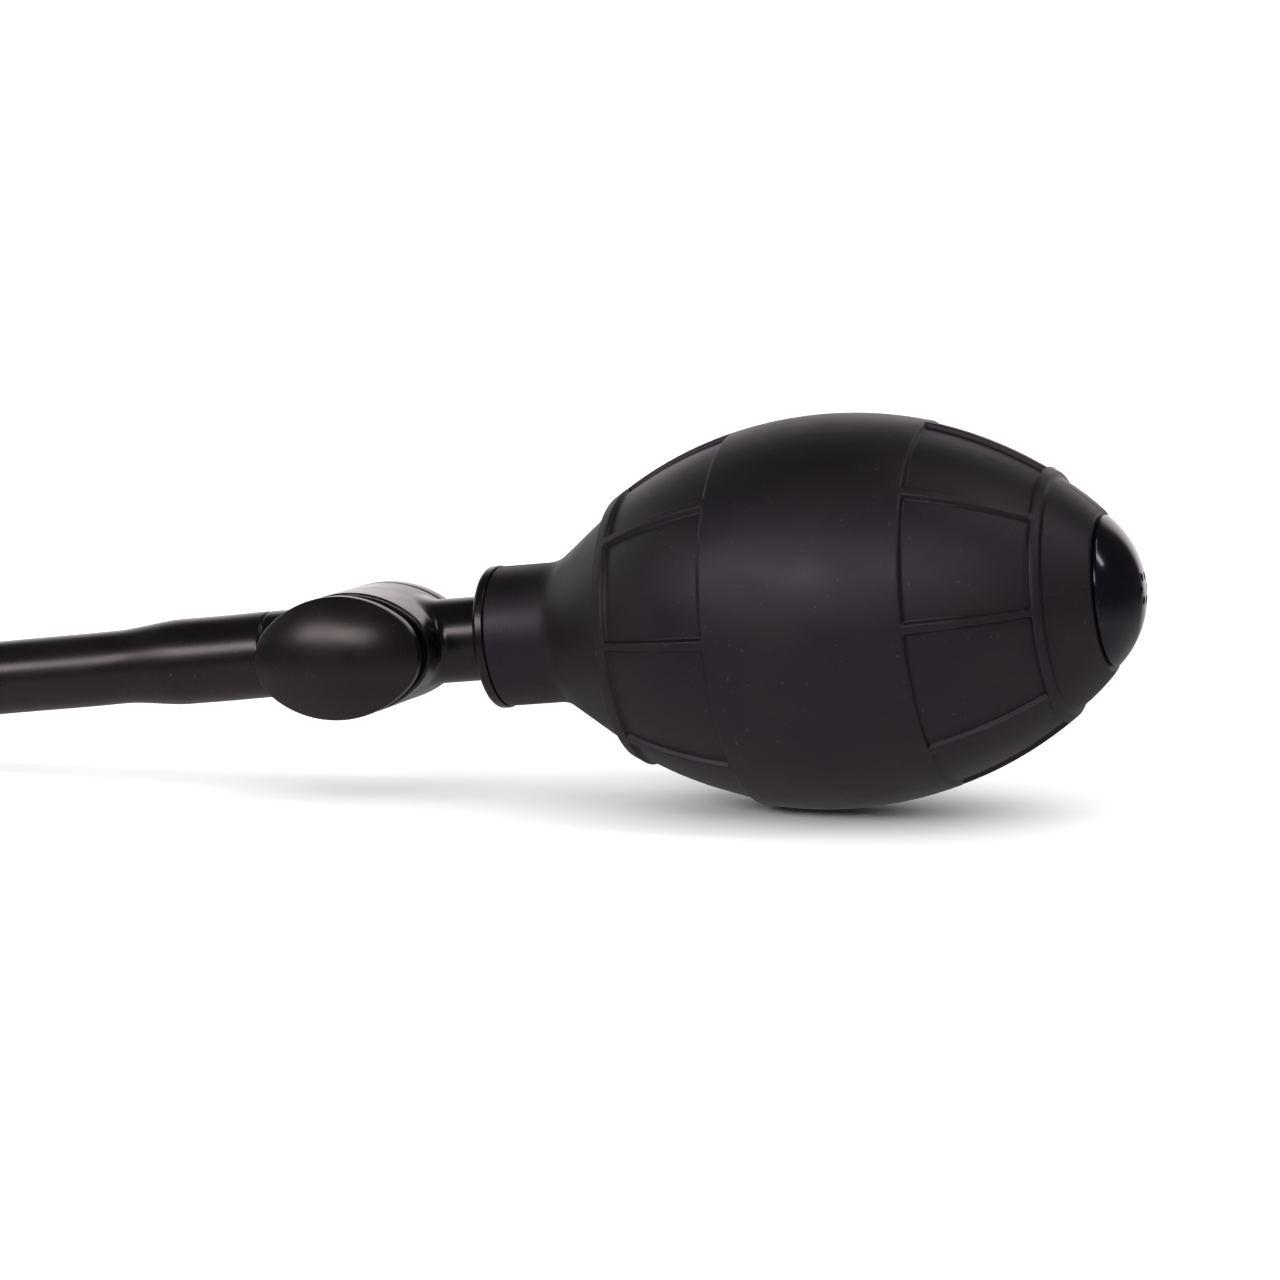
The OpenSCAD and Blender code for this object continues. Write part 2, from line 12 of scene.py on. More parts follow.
import bpy
import numpy as np
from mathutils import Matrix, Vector


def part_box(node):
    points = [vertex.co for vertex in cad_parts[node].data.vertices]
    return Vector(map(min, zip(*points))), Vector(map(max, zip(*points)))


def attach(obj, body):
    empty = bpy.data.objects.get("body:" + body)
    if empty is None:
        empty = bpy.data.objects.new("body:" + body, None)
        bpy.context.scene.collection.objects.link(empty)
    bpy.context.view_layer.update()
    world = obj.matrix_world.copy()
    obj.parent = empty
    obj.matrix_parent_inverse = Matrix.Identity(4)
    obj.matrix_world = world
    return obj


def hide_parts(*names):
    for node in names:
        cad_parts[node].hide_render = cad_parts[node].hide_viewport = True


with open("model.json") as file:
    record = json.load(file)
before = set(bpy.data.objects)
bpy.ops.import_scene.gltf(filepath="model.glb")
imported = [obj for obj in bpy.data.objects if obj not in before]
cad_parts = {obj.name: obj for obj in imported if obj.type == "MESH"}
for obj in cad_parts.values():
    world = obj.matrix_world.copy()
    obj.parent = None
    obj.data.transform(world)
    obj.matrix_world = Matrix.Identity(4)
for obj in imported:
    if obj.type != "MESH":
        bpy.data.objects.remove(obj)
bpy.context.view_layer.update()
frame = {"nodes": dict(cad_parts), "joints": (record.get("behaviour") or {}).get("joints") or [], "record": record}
record = frame["record"]
scene = bpy.context.scene

MM = 0.001

# ---- the bulb's straight frame, from the intake valve's disc and the way it slides ----

DISC_X = 79.07  # middle of the intake valve's disc
intake = next(j for j in frame["joints"] if j["name"] == "intake_open")
AXIS_X = -Vector(intake["axis"]).normalized()
AXIS_Y = Vector((0, 1, 0))
AXIS_Z = AXIS_X.cross(AXIS_Y)
disc_lo, disc_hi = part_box("intake_disc")
ORIGIN = (disc_lo + disc_hi) / 2 - AXIS_X * DISC_X * MM
TO_ROW = np.array([AXIS_X, AXIS_Y, AXIS_Z])


def local(points):
    """Points (n, 3) in millimetres of the straight frame, as metres of the row frame."""
    return np.asarray(points, float) @ TO_ROW * MM + np.array(ORIGIN)


def to_local(points):
    """Points (n, 3) in metres of the row frame, as millimetres of the straight frame."""
    return (np.asarray(points, float) - np.array(ORIGIN)) @ TO_ROW.T / MM


# ---- camera ----

LENS_MM, SENSOR_MM = 126.56, 36
VIEW_AZIMUTH = math.radians(17.55)
VIEW_ELEVATION = math.radians(7)
VIEW_DISTANCE = 0.6
VIEW_AIM_X = 19  # point on the bulb's axis that the camera looks past
VIEW_DROP = 1.84 * MM  # of the optical axis under that point


def make_camera():
    target = Vector(local([[VIEW_AIM_X, 0, 0]])[0])
    ca, sa = math.cos(VIEW_AZIMUTH), math.sin(VIEW_AZIMUTH)
    ce, se = math.cos(VIEW_ELEVATION), math.sin(VIEW_ELEVATION)
    back = Vector((sa * ce, -ca * ce, se))
    up = Vector((-sa * se, ca * se, ce))
    data = bpy.data.cameras.new("camera")
    data.lens, data.sensor_width = LENS_MM, SENSOR_MM
    data.clip_start, data.clip_end = 0.01, 100
    camera = bpy.data.objects.new("camera", data)
    camera.location = target - up * VIEW_DROP + back * VIEW_DISTANCE
    camera.rotation_mode = "QUATERNION"
    camera.rotation_quaternion = (-back).to_track_quat("-Z", "Y")
    scene.collection.objects.link(camera)
    scene.camera = camera


make_camera()


# ---- materials ----

NOISE_SPAN = (0.3, 0.7)  # between which nearly all of a noise's output lies
RUB_MM, RUB_STRETCH, RUB_SPAN = 8.0, (1, 3, 3), (0.5, 0.75)
SPECK_MM, SPECK_SPAN = 0.5, (0.74, 0.8)
RUB_ROUGHENS = 0.6  # as a share of the roughness's range


def noise(tree, coords, size_mm, detail=3.0, rough=0.55, stretch=None):
    """Noise output whose blobs are about size_mm wide; stretch squeezes the pattern by axis."""
    if stretch:
        mapping = tree.nodes.new("ShaderNodeMapping")
        mapping.inputs["Scale"].default_value = stretch
        tree.links.new(coords, mapping.inputs["Vector"])
        coords = mapping.outputs["Vector"]
    node = tree.nodes.new("ShaderNodeTexNoise")
    node.inputs["Scale"].default_value = 1000 / size_mm
    node.inputs["Detail"].default_value = detail
    node.inputs["Roughness"].default_value = rough
    tree.links.new(coords, node.inputs["Vector"])
    return node.outputs["Fac"]


def ranged(tree, value, lo, hi, out_lo, out_hi):
    node = tree.nodes.new("ShaderNodeMapRange")
    for name, x in (("From Min", lo), ("From Max", hi), ("To Min", out_lo), ("To Max", out_hi)):
        node.inputs[name].default_value = x
    tree.links.new(value, node.inputs["Value"])
    return node.outputs["Result"]


def mixed(tree, factor, a, b):
    """Colour a where factor is 0 and b where it is 1; each is a colour or a socket."""
    node = tree.nodes.new("ShaderNodeMix")
    node.data_type = "RGBA"
    tree.links.new(factor, node.inputs["Factor"])
    for socket, x in (("A", a), ("B", b)):
        target = next(i for i in node.inputs if i.name == socket and i.type == "RGBA")
        if isinstance(x, tuple):
            target.default_value = (*x, 1)
        else:
            tree.links.new(x, target)
    return next(o for o in node.outputs if o.type == "RGBA")


def bump(tree, height, depth_um, strength=1.0, under=None):
    node = tree.nodes.new("ShaderNodeBump")
    node.inputs["Distance"].default_value = depth_um * 1e-6
    node.inputs["Strength"].default_value = strength
    tree.links.new(height, node.inputs["Height"])
    if under:
        tree.links.new(under, node.inputs["Normal"])
    return node.outputs["Normal"]


def finish(
    name, dark, light, rough, grain_mm, grain_um, blotch_mm,
    metallic=0.0, specular=0.5, tint=(1.0, 1.0, 1.0), speck=None, stretch=None, sheen=0.0,
):
    """Procedural finish: colour drifts from dark to light over blotches, roughness varies over
    rough = (lo, hi), fine grain is bump, and specks of dust and fine rubs show the wear."""
    material = bpy.data.materials.new(name)
    material.use_nodes = True
    tree = material.node_tree
    shader = tree.nodes["Principled BSDF"]
    coords = tree.nodes.new("ShaderNodeTexCoord").outputs["Object"]
    drift = ranged(tree, noise(tree, coords, blotch_mm, 4), *NOISE_SPAN, 0, 1)
    colour = mixed(tree, drift, dark, light)
    rubs = ranged(tree, noise(tree, coords, RUB_MM, 2, 0.5, RUB_STRETCH), *RUB_SPAN, 0, 1)
    if speck:
        dots = ranged(tree, noise(tree, coords, SPECK_MM, 1), *SPECK_SPAN, 0, 1)
        colour = mixed(tree, dots, colour, speck)
    tree.links.new(colour, shader.inputs["Base Color"])
    mottled = noise(tree, coords, blotch_mm / 2, 1, 0.5)
    lo, hi = rough
    base_rough = ranged(tree, mottled, *NOISE_SPAN, lo, hi)
    worn = tree.nodes.new("ShaderNodeMath")
    worn.operation = "MULTIPLY_ADD"
    worn.inputs[1].default_value = (hi - lo) * RUB_ROUGHENS
    tree.links.new(rubs, worn.inputs[0])
    tree.links.new(base_rough, worn.inputs[2])
    tree.links.new(worn.outputs[0], shader.inputs["Roughness"])
    fine = bump(tree, noise(tree, coords, grain_mm, 2, 0.5, stretch), grain_um)
    wavy = bump(tree, noise(tree, coords, blotch_mm * 0.6, 2), grain_um * 3, 0.6, fine)
    tree.links.new(wavy, shader.inputs["Normal"])
    shader.inputs["Metallic"].default_value = metallic
    shader.inputs["Specular IOR Level"].default_value = specular
    shader.inputs["Specular Tint"].default_value = (*tint, 1)
    shader.inputs["Sheen Weight"].default_value = sheen
    return material


FINISHES = {
    "bulb_rubber": finish(
        "bulb_rubber", (0.0064, 0.0052, 0.0086), (0.0114, 0.0092, 0.0112), (0.45, 0.52), 0.3, 3,
        14, specular=0.42, tint=(1.0, 0.86, 1.0), speck=(0.045, 0.040, 0.042),
    ),
    "satin_plastic": finish(
        "satin_plastic", (0.0075, 0.0060, 0.0060), (0.0105, 0.0086, 0.0086), (0.27, 0.32), 0.3, 0.8,
        9, specular=0.5, tint=(1.0, 0.87, 0.86), speck=(0.04, 0.037, 0.037),
    ),
    "gloss_plastic": finish(
        "gloss_plastic", (0.0045, 0.0038, 0.0044), (0.0072, 0.0062, 0.0072), (0.21, 0.27), 0.5, 0.8,
        9, specular=0.5, tint=(1.0, 0.88, 0.95), speck=(0.035, 0.033, 0.034),
    ),
    "polished_plastic": finish(
        "polished_plastic", (0.0040, 0.0034, 0.0056), (0.0060, 0.0052, 0.0080), (0.11, 0.15), 0.5,
        0.5, 9, specular=0.5, tint=(0.93, 0.86, 1.0), speck=(0.03, 0.028, 0.03),
    ),
    "hose_vinyl": finish(
        "hose_vinyl", (0.0060, 0.0048, 0.0049), (0.0095, 0.0078, 0.0079), (0.25, 0.31), 0.8, 0.5,
        16, specular=0.55, tint=(1.0, 0.88, 0.87), speck=(0.035, 0.032, 0.032),
        stretch=(0.25, 1, 1),
    ),
    "seal_rubber": finish(
        "seal_rubber", (0.012, 0.012, 0.014), (0.02, 0.02, 0.022), (0.5, 0.62), 0.3, 4, 4,
    ),
    "inner_plastic": finish(
        "inner_plastic", (0.62, 0.61, 0.58), (0.72, 0.71, 0.68), (0.4, 0.5), 0.3, 3, 5,
    ),
    "filter_foam": finish(
        "filter_foam", (0.22, 0.26, 0.31), (0.36, 0.41, 0.46), (0.85, 0.95), 0.35, 90, 2,
    ),
    "steel": finish(
        "steel", (0.56, 0.57, 0.59), (0.68, 0.69, 0.71), (0.2, 0.32), 0.15, 3, 3,
        metallic=1.0, stretch=(1, 0.15, 1),
    ),
    "tie_strap": finish(
        "tie_strap", (0.010, 0.010, 0.012), (0.022, 0.022, 0.025), (0.8, 0.92), 0.25, 60, 3,
        sheen=0.3, speck=(0.07, 0.07, 0.07),
    ),
    "brass": finish(
        "brass", (0.62, 0.43, 0.17), (0.74, 0.55, 0.26), (0.2, 0.34), 0.12, 3, 4,
        metallic=1.0, stretch=(0.15, 1, 1),
    ),
}


# ---- mesh helpers ----

SHARP = 34  # degrees between faces, from which their edge stays sharp
FILLET_STEPS, FILLET_HOLD = 5, 0.06  # faces on a round, and the flat kept beside it


def make_piece(name, verts, faces, slot, body, nodes, sharp=SHARP):
    """A piece from points in metres of the row frame, riding on a body in place of CAD nodes."""
    mesh = bpy.data.meshes.new(name)
    mesh.from_pydata([tuple(v) for v in verts], [], faces)
    mesh.validate()
    piece = bpy.data.objects.new(name, mesh)
    scene.collection.objects.link(piece)
    dress(piece, slot, body, nodes, sharp)
    return piece


def paint(mesh, finish_name):
    mesh.materials.clear()
    mesh.materials.append(FINISHES[finish_name])


def smooth(mesh, sharp=SHARP):
    mesh.polygons.foreach_set("use_smooth", [True] * len(mesh.polygons))
    mesh.set_sharp_from_angle(angle=math.radians(sharp))


def dress(piece, slot, body, nodes, sharp=SHARP):
    paint(piece.data, slot)
    smooth(piece.data, sharp)
    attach(piece, body)
    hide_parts(*nodes)


def skin(ring_count, sides, looped=False, first_pole=None, last_pole=None):
    """Faces between rings of points; rings turn so that faces look outward for +x lofts."""
    faces = []
    steps = ring_count if looped else ring_count - 1
    for i in range(steps):
        j = (i + 1) % ring_count
        for k in range(sides):
            m = (k + 1) % sides
            faces.append((i * sides + k, j * sides + k, j * sides + m, i * sides + m))
    if first_pole is not None:
        faces += [(first_pole, k, (k + 1) % sides) for k in range(sides)]
    if last_pole is not None:
        top = (ring_count - 1) * sides
        faces += [(last_pole, top + (k + 1) % sides, top + k) for k in range(sides)]
    return faces


def fillet(outline, looped=True):
    """Rounds the corners of an outline of (x, r) or (x, r, radius), and holds the flats flat."""
    n = len(outline)
    out = []
    for i, p in enumerate(outline):
        radius = p[2] if len(p) > 2 else 0
        p = np.array(p[:2], float)
        if radius == 0 or (not looped and i in (0, n - 1)):
            out.append(tuple(p))
            continue
        a = np.array(outline[i - 1][:2], float) - p
        b = np.array(outline[(i + 1) % n][:2], float) - p
        la, lb = np.linalg.norm(a), np.linalg.norm(b)
        a, b = a / la, b / lb
        angle = math.acos(max(-1, min(1, float(a @ b))))
        reach = min(radius / math.tan(angle / 2), 0.45 * la, 0.45 * lb)
        radius = reach * math.tan(angle / 2)
        middle = (a + b) / np.linalg.norm(a + b)
        centre = p + middle * radius / math.sin(angle / 2)
        start, end = p + a * reach - centre, p + b * reach - centre
        turn = math.pi - angle
        if FILLET_HOLD < 0.4 * reach + 0.2 * la and la > 3 * FILLET_HOLD:
            out.append(tuple(p + a * (reach + FILLET_HOLD)))
        for t in (step / FILLET_STEPS for step in range(FILLET_STEPS + 1)):
            v = (math.sin((1 - t) * turn) * start + math.sin(t * turn) * end) / math.sin(turn)
            out.append(tuple(centre + v))
        if FILLET_HOLD < 0.4 * reach + 0.2 * lb and lb > 3 * FILLET_HOLD:
            out.append(tuple(p + b * (reach + FILLET_HOLD)))
    return out


def arc(cx, cr, radius, start, end, steps):
    """Points (x, r) on an arc about (cx, cr), with angles in degrees from the x axis."""
    angles = np.radians(np.linspace(start, end, steps + 1))
    return [(cx + radius * math.cos(a), cr + radius * math.sin(a)) for a in angles]


def lathe(outline, sides=128, looped=True, place=local):
    """Vertices and faces of an outline (x, r) turned about the x axis. An outline that isn't
    looped starts and ends on the axis."""
    poles = [] if looped else [outline[0], outline[-1]]
    rings = outline if looped else outline[1:-1]
    turn = np.linspace(0, 2 * math.pi, sides, endpoint=False)
    points = [
        np.stack([np.full(sides, x), -r * np.cos(turn), r * np.sin(turn)], 1) for x, r in rings
    ]
    points.append(np.array([[x, 0, 0] for x, _ in poles]).reshape(-1, 3))
    verts = place(np.concatenate(points))
    n = len(rings)
    ends = {} if looped else {"first_pole": n * sides, "last_pole": n * sides + 1}
    return verts, skin(n, sides, looped, **ends)


def cut(piece, cutters):
    """Takes the cutters' shapes out of a piece, removes the cutters and shades the piece."""
    for c in cutters:
        tool = piece.modifiers.new("cut", "BOOLEAN")
        tool.operation, tool.solver, tool.object = "DIFFERENCE", "EXACT", c
    apply_modifiers(piece)
    for c in cutters:
        bpy.data.objects.remove(c)
    piece.data.set_sharp_from_angle(angle=math.radians(SHARP))


def apply_modifiers(piece):
    bpy.context.view_layer.update()
    graph = bpy.context.evaluated_depsgraph_get()
    mesh = bpy.data.meshes.new_from_object(piece.evaluated_get(graph))
    piece.modifiers.clear()
    piece.data = mesh


def cutter(verts, faces):
    mesh = bpy.data.meshes.new("cutter")
    mesh.from_pydata([tuple(v) for v in verts], [], faces)
    piece = bpy.data.objects.new("cutter", mesh)
    scene.collection.objects.link(piece)
    return piece


# ---- hose ----

HOSE_R = 5.1
HOSE_BARB_R = 5.9
HOSE_GRIP, HOSE_TAPER = 13.0, 10.0  # lengths stretched over the barb, and narrowing past it
HOSE_SIDES = 48
HOSE_EDGE_R = 0.4  # rounding of the cut ends
BARBS, BARB_PITCH, BARB_FIRST = 3, 4.8, 2.6
BARB_SWELL, BARB_SPREAD = 0.1, 1.3
HOSE_STEP = 1.2 * MM  # between rings
ROUTE_STEPS = 24  # curve points worked out between two points of the route
HOSE_X = -33.7  # where the hose meets the valve's shoulder, in the straight frame
HOSE_ROUTE_MM = [
    (-59, 0, 16.7), (-66, 0, 15.9), (-73, 0, 15.1), (-80, 0, 14.2), (-95, 0, 12.4),
    (-110, -1.6, 10.4), (-125, -4, 8.4), (-140, -5.4, 6.7), (-155, -5.6, 6),
    (-170, -5.7, 5.8), (-185, -7.4, 5.5), (-200, -11.4, 5.2), (-216, -17.6, 5.2),
    (-232, -23.8, 5.2), (-250, -29.6, 5.2), (-268, -32, 5.2),
    (-284, -27.7, 5.2), (-296, -16, 5.2), (-300, 0, 5.2), (-296, 16, 5.2),
    (-284, 27.7, 5.2), (-268, 32, 5.2), (-250, 29.6, 5.2), (-232, 23.8, 5.2),
    (-216, 17.6, 5.2), (-200, 11.4, 5.2), (-185, 7.4, 5.5), (-170, 5.7, 5.8),
    (-158, 5.9, 5.8),
]
hose_start = local([[HOSE_X, 0, 0]])[0]
hose_route = np.vstack([hose_start, np.array(HOSE_ROUTE_MM) * MM])
NOZZLE_TURN = math.radians(8)


def smooth_path(points, start_way, end_way, step):
    """Catmull-Rom curve through the points, at even steps, with a set way at either end."""
    gaps = np.linalg.norm(np.diff(points, axis=0), axis=1)
    ways = np.zeros_like(points)
    for i in range(1, len(points) - 1):
        a, b = gaps[i - 1], gaps[i]
        ways[i] = (points[i] - points[i - 1]) / a * b + (points[i + 1] - points[i]) / b * a
        ways[i] /= a + b
    ways[0], ways[-1] = start_way, end_way
    fine = []
    for i, gap in enumerate(gaps):
        t = np.linspace(0, 1, ROUTE_STEPS, endpoint=False)[:, None]
        h = (2 * t**3 - 3 * t**2 + 1, t**3 - 2 * t**2 + t, -2 * t**3 + 3 * t**2, t**3 - t**2)
        here = h[0] * points[i] + h[1] * gap * ways[i]
        there = h[2] * points[i + 1] + h[3] * gap * ways[i + 1]
        fine.append(here + there)
    fine = np.vstack([*fine, points[-1:]])
    run = np.concatenate([[0], np.cumsum(np.linalg.norm(np.diff(fine, axis=0), axis=1))])
    even = np.linspace(0, run[-1], int(run[-1] / step) + 1)
    return np.stack([np.interp(even, run, fine[:, k]) for k in range(3)], 1), even


def tube(path, radii, sides):
    """Closed tube round a path: flat ends, rings square to the path."""
    way = np.gradient(path, axis=0)
    way /= np.linalg.norm(way, axis=1)[:, None]
    side = np.cross(way, [0, 0, 1])
    side /= np.linalg.norm(side, axis=1)[:, None]
    over = np.cross(side, way)
    turn = np.linspace(0, 2 * math.pi, sides, endpoint=False)
    rings = [
        p + r * (np.cos(turn)[:, None] * u + np.sin(turn)[:, None] * v)
        for p, r, u, v in zip(path, radii, side, over)
    ]
    n = len(path)
    verts = np.vstack([*rings, path[:1], path[-1:]])
    faces = skin(n, sides, first_pole=n * sides, last_pole=n * sides + 1)
    return verts, [f[::-1] for f in faces]


def make_hose():
    end_way = (math.cos(NOZZLE_TURN), math.sin(NOZZLE_TURN), 0)
    path, run = smooth_path(hose_route, -np.array(AXIS_X), np.array(end_way), HOSE_STEP)
    # Rings close together at both ends round off the cut edges
    edge = np.array([0.0, 0.06, 0.2, 0.4, 0.7]) * MM
    inner = (run > HOSE_STEP) & (run < run[-1] - HOSE_STEP)
    stations = np.concatenate([edge, run[inner], run[-1] - edge[::-1]])
    path = np.stack([np.interp(stations, run, path[:, k]) for k in range(3)], 1)
    t = np.clip((stations / MM - HOSE_GRIP) / HOSE_TAPER, 0, 1)
    radii = HOSE_BARB_R + (HOSE_R - HOSE_BARB_R) * t * t * (3 - 2 * t)
    for i in range(BARBS):  # the barbs show through as faint swellings
        past = stations / MM - BARB_FIRST - BARB_PITCH * i
        radii += BARB_SWELL * np.exp(-((past / BARB_SPREAD) ** 2))
    radii = np.minimum(radii, HOSE_BARB_R)
    from_end = np.minimum(stations, stations[-1] - stations) / MM
    inset = np.clip(HOSE_EDGE_R - from_end, 0, None)
    radii -= HOSE_EDGE_R - np.sqrt(np.maximum(HOSE_EDGE_R**2 - inset**2, 0))
    verts, faces = tube(path, radii * MM, HOSE_SIDES)
    return make_piece("hose_tube", verts, faces, "hose_vinyl", "body", ["hose"]), path


hose_tube, hose_path = make_hose()


# ---- nozzle and tie, on the hose ----

COLLAR_T, COLLAR_R = 3.0, 5.6
NOZZLE_R = (4.6, 2.3)
NOZZLE_LEN = 26.0
NOZZLE_BARB = 13.0
NOZZLE_BORE_R = 1.5
NOZZLE_BARB_R = (2.9, 3.3)
TIP_SEAT = 6.0
TIP_SHANK_R = 1.025
GRIP_RINGS, GRIP_PITCH, GRIP_H = 4, 2.4, 0.5
TIE_GAP, TIE_EDGE = 0.2 * MM, 0.22 * MM
TIE_CROWN = 0.02 * MM  # of the band's inside, at its middle


def at_hose_end(points):
    """Points (n, 3) in millimetres about the nozzle's own x axis, as metres of the row frame."""
    c, s = math.cos(NOZZLE_TURN), math.sin(NOZZLE_TURN)
    p = np.asarray(points, float) * MM
    turned = np.stack([p[:, 0] * c - p[:, 1] * s, p[:, 0] * s + p[:, 1] * c, p[:, 2]], 1)
    return turned + hose_route[-1]


def make_nozzle():
    end = COLLAR_T + NOZZLE_LEN

    def taper(x):
        return NOZZLE_R[0] + (NOZZLE_R[1] - NOZZLE_R[0]) * (x - COLLAR_T) / NOZZLE_LEN

    outline = [
        (-NOZZLE_BARB, NOZZLE_BORE_R), (-NOZZLE_BARB, NOZZLE_BARB_R[0], 0.3),
        (-NOZZLE_BARB + 3, NOZZLE_BARB_R[1]), (0, NOZZLE_BARB_R[1]), (0, COLLAR_R, 0.6),
        (COLLAR_T, COLLAR_R, 0.6), (COLLAR_T, NOZZLE_R[0], 0.3),
    ]
    for i in range(1, GRIP_RINGS + 1):
        x = COLLAR_T + i * GRIP_PITCH
        outline += [
            (x - GRIP_H, taper(x - GRIP_H), 0.25), (x, taper(x) + GRIP_H, 0.3),
            (x + GRIP_H, taper(x + GRIP_H), 0.25),
        ]
    outline += [
        (end, NOZZLE_R[1], 0.4), (end, TIP_SHANK_R, 0.1), (end - TIP_SEAT, TIP_SHANK_R),
        (end - TIP_SEAT, NOZZLE_BORE_R),
    ]
    verts, faces = lathe(fillet(outline), 96, place=at_hose_end)
    return make_piece("nozzle", verts, faces, "satin_plastic", "body", ["nozzle_body"])


def make_tie():
    """Strap round both hose runs: a rounded band whose outline is two arcs and two straights."""
    lo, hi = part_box("hose_tie")
    middle = (np.array(lo) + np.array(hi)) / 2
    half_w = (hi.x - lo.x) / 2
    inner_r = HOSE_R * MM + TIE_GAP
    outer_r = (hi.z - lo.z) / 2
    reach = (hi.y - lo.y) / 2 - outer_r
    section = [  # (x, r) round the band's cross-section
        (-half_w, inner_r + TIE_EDGE), (-half_w + TIE_EDGE, inner_r), (0, inner_r - TIE_CROWN),
        (half_w - TIE_EDGE, inner_r), (half_w, inner_r + TIE_EDGE), (half_w, outer_r - TIE_EDGE),
        (half_w - TIE_EDGE, outer_r), (0, outer_r), (-half_w + TIE_EDGE, outer_r),
        (-half_w, outer_r - TIE_EDGE),
    ]
    around = []
    for side, start in ((1, -90), (-1, 90)):
        for a in np.radians(np.linspace(start, start + 180, 25)):
            around.append((side * reach, math.cos(a), math.sin(a)))
    verts = []
    for cy, cos_a, sin_a in around:
        for x, r in section:
            verts.append((middle[0] + x, middle[1] + cy + r * cos_a, middle[2] + r * sin_a))
    faces = skin(len(around), len(section), looped=True)
    return make_piece("strap", verts, faces, "tie_strap", "body", ["hose_tie"])


nozzle = make_nozzle()
strap = make_tie()


# ---- bulb ----

BULB_R, SIDE_R, BELLY_X = 26.0, 52.0, 46.5
NECK_R, NECK_STRAIGHT = 9.4, 7.4
NECK_FLARE_R, NECK_FLARE_TURN = 4, 36  # mm, degrees
RIM_X, RIM_FOOT_R, RIM_END = 17.9, 16.3, 19.6
RING_X, RING_END, RING_STEP = 76.3, 77.3, 0.8
MOUTH_X, MOUTH_LIP_R, MOUTH_BORE_R = 82.7, 10.6, 7.85
BELLY_LO, BELLY_HI = 35.0, 61.0
WALL = 2.6
MOUTH_BEAD, NECK_BEAD = (79, 80.6), (6.4, 8.2)  # grooves for the cap's and adapter's beads
NECK_BORE_R, NECK_BORE_END = 6.4, 12.5
BEAD_H = 0.5
PARTING_TURN, PARTING_WIDTH, PARTING_H = 88.0, 0.16, 0.09  # degrees, mm, mm
PANEL_DEPTH = 0.7
PANEL_EDGE, RIM_EASE = 0.45, 0.8
RIB_TURN, RIB_HALF, RIB_EDGE = -2.0, 1.3, 0.9  # degrees
PANELS = 8
SECTOR = 360 / PANELS
BULB_SHARP = 50


def side_at(x, sink=0.0):
    return BULB_R - sink - SIDE_R + math.sqrt(SIDE_R**2 - (x - BELLY_X) ** 2)


def panel_stations(lo, hi):
    """Stations close together where a panel's ends step down, and even between."""
    steps = np.linspace(0, RIM_EASE, 9)
    inner = np.linspace(lo + 1.4, hi - 1.4, 12)
    return [*(lo + steps), *inner, *(hi - steps[::-1])]


def groove(span, r):
    """Outline points of a groove in a bore of radius r, from its far end to its near end."""
    near, far = span
    return [(far, r), (far, r + BEAD_H), (near, r + BEAD_H), (near, r)]


def bulb_outline():
    stations = [
        18.9, *panel_stations(RIM_END, BELLY_LO), 35.3,
        *np.linspace(36.5, 59.5, 17), 60.7, *panel_stations(BELLY_HI, RING_X), 76.8,
    ]
    neck = arc(
        NECK_STRAIGHT, NECK_R + NECK_FLARE_R, NECK_FLARE_R, -90, NECK_FLARE_TURN - 90, 8
    )
    flare_a, flare_b = np.array(neck[-1]), np.array([RIM_X, RIM_FOOT_R])
    flare = [tuple(flare_a + (flare_b - flare_a) * t) for t in (0.25, 0.5, 0.75)]
    cone_top = side_at(RING_END) - RING_STEP
    inside = [(x, side_at(x, WALL)) for x in np.linspace(74, 20.5, 14)]
    outline = [
        (0, NECK_R, 0.3), (2.5, NECK_R), (5, NECK_R), *neck, *flare,
        (RIM_X, RIM_FOOT_R, 0.5), (RIM_X + 0.15, side_at(RIM_X + 0.2), 0.5),
        *[(x, side_at(x)) for x in stations],
        (RING_END, side_at(RING_END), 0.3), (RING_END + 0.2, cone_top, 0.3),
        (79.0, 13.95), (80.4, 12.8), (81.5, 11.8), (MOUTH_X, MOUTH_LIP_R, 0.7),
        (MOUTH_X, MOUTH_BORE_R, 0.25), *groove(MOUTH_BEAD, MOUTH_BORE_R),
        (78, MOUTH_BORE_R), (76.3, 12.4), *inside, (17, 12.2), (NECK_BORE_END, NECK_BORE_R),
        *groove(NECK_BEAD, NECK_BORE_R), (0, NECK_BORE_R, 0.3),
    ]
    return fillet(outline)


def eased(t):
    t = np.clip(t, 0, 1)
    return t * t * (3 - 2 * t)


def bulb_columns():
    """Angles in degrees about the axis, from -y towards +z, close together at the ribs."""
    offsets = [0, 0.7, *(RIB_HALF + np.linspace(0, RIB_EDGE, 5)), 2.8, 4.2]
    offsets += list(np.linspace(6.5, SECTOR / 2, 6))
    half = np.array(offsets)
    sector = np.concatenate([half, (SECTOR - half[1:-1])[::-1]])
    return np.concatenate([RIB_TURN + SECTOR * k + sector for k in range(PANELS)])


